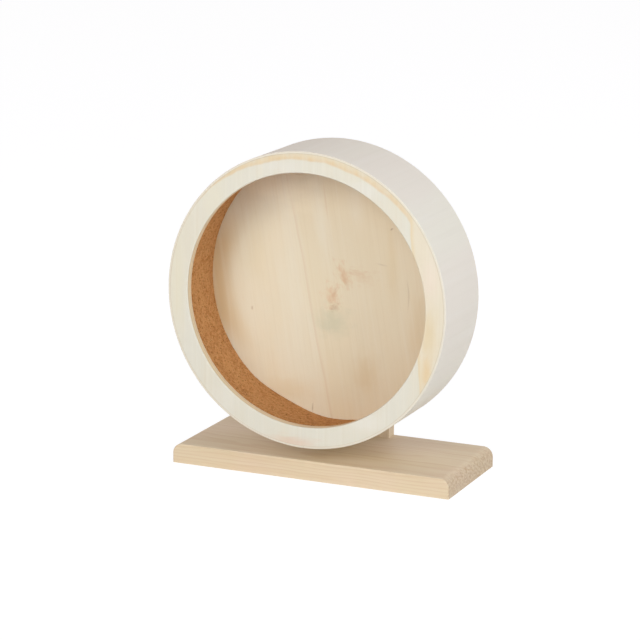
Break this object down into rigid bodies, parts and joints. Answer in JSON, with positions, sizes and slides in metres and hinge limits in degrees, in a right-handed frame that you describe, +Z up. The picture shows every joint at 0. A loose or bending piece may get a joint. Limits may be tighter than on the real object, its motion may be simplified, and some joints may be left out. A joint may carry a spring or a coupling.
{
  "type": "rodent exercise wheel",
  "caption": "Wooden exercise wheel for small rodents: a cork-lined drum with a closed back that spins on a ball bearing, carried by a post on a flat base board.",
  "frame": {"origin": "centre of the base board's underside", "axes": "+X to the right along the board, +Y to the rear along the axle, from the drum's open front to the post, +Z up"},
  "size_m": [0.223, 0.113, 0.247],
  "materials": {
    "poplar_plywood": "bare sanded poplar plywood",
    "band_plywood": "thin bare bending plywood",
    "core_plywood": "bare bending plywood",
    "cork": "fine-grained pressed cork",
    "pine": "bare planed pine",
    "zinc_plated_steel": "bright zinc plate",
    "bearing_steel": "ground",
    "polished_steel": "polished",
    "pressed_steel": "pressed and bright",
    "nylon": "natural"
  },
  "bodies": {
    "stand": {"base_board": "pine", "upright_post": "pine", "base_screws": "zinc_plated_steel", "axle_bolt": "zinc_plated_steel", "race_washers": "zinc_plated_steel", "bearing_inner_race": "bearing_steel", "clamp_nut": "zinc_plated_steel", "post_washers": "zinc_plated_steel", "lock_nut": "zinc_plated_steel", "lock_nut_insert": "nylon"},
    "wheel": {"front_ring": "poplar_plywood", "back_wall": "poplar_plywood", "outer_band": "band_plywood", "drum_core": "core_plywood", "cork_liner": "cork", "hub_block": "pine", "hub_screws": "zinc_plated_steel", "bearing_outer_race": "bearing_steel", "bearing_shield_front": "pressed_steel", "bearing_shield_rear": "pressed_steel"},
    "ball_cage": {"bearing_balls": "polished_steel", "bearing_cage_front": "pressed_steel", "bearing_cage_rear": "pressed_steel", "bearing_cage_rivets": "pressed_steel"}
  },
  "joints": [
    {"name": "wheel_spin", "type": "hinge", "parent": "stand", "child": "wheel", "pos_m": [0, 0.0234, 0.137], "axis": [0, 1, 0], "continuous": true},
    {"name": "cage_spin", "type": "hinge", "parent": "stand", "child": "ball_cage", "pos_m": [0, 0.0234, 0.137], "axis": [0, 1, 0], "continuous": true}
  ],
  "couplings": [
    {"joint": "cage_spin", "follows": "wheel_spin", "ratio": 0.6323}
  ]
}
